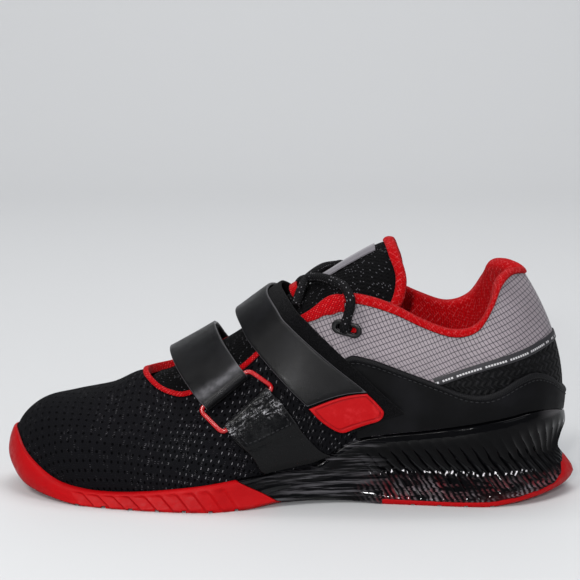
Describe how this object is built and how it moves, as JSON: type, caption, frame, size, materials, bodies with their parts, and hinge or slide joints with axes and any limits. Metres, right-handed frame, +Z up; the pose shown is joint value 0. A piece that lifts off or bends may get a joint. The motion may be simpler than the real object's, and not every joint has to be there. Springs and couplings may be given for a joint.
{
  "type": "weightlifting shoe",
  "caption": "Low-cut weightlifting shoe for the left foot, with raised ribbed heel, ring straps over the instep, padded tongue and open padded collar.",
  "frame": {"origin": "middle of the bounding box at the level of the floor", "axes": "+X from toe to heel, -Y to the outer side of the foot, +Z up"},
  "size_m": [0.3038, 0.1073, 0.1349],
  "materials": {
    "outsole_rubber": "matt red rubber with slanted side lugs",
    "smoke_moulding": "glossy smoked moulding with slanted ribs",
    "mesh": "black engineered mesh",
    "sockliner": "brushed black cloth on foam",
    "matte_overlay": "matt black film",
    "lining_knit": "padded red knit",
    "binding_tape": "red binding tape",
    "tongue_mesh": "black spacer mesh",
    "label_strip": "plain grey woven strip",
    "eyelet_plastic": "moulded black loop",
    "lace_cord": "round black braid with pale flecks",
    "strap": "smooth coated black microfibre",
    "anchor_band": "glossy coated black band",
    "ring_metal": "red coated wire",
    "tab": "red coated tab, plain"
  },
  "bodies": {
    "root": {"outsole_forefoot": "outsole_rubber", "outsole_heel": "outsole_rubber", "heel_unit": "smoke_moulding", "upper": "mesh", "insole": "sockliner", "counter": "matte_overlay", "collar_pad": "lining_knit", "throat_binding": "binding_tape", "tongue": "tongue_mesh", "tongue_binding": "lining_knit", "tongue_label": "label_strip", "eyelet_lateral": "eyelet_plastic", "eyelet_medial": "eyelet_plastic", "lace": "lace_cord", "lace_keeper": "binding_tape", "strap_forefoot": "strap", "strap_instep": "strap", "anchor_forefoot": "anchor_band", "anchor_instep": "anchor_band", "ring_forefoot": "ring_metal", "ring_instep": "ring_metal", "tab_instep": "tab", "tab_forefoot": "tab"}
  },
  "joints": []
}
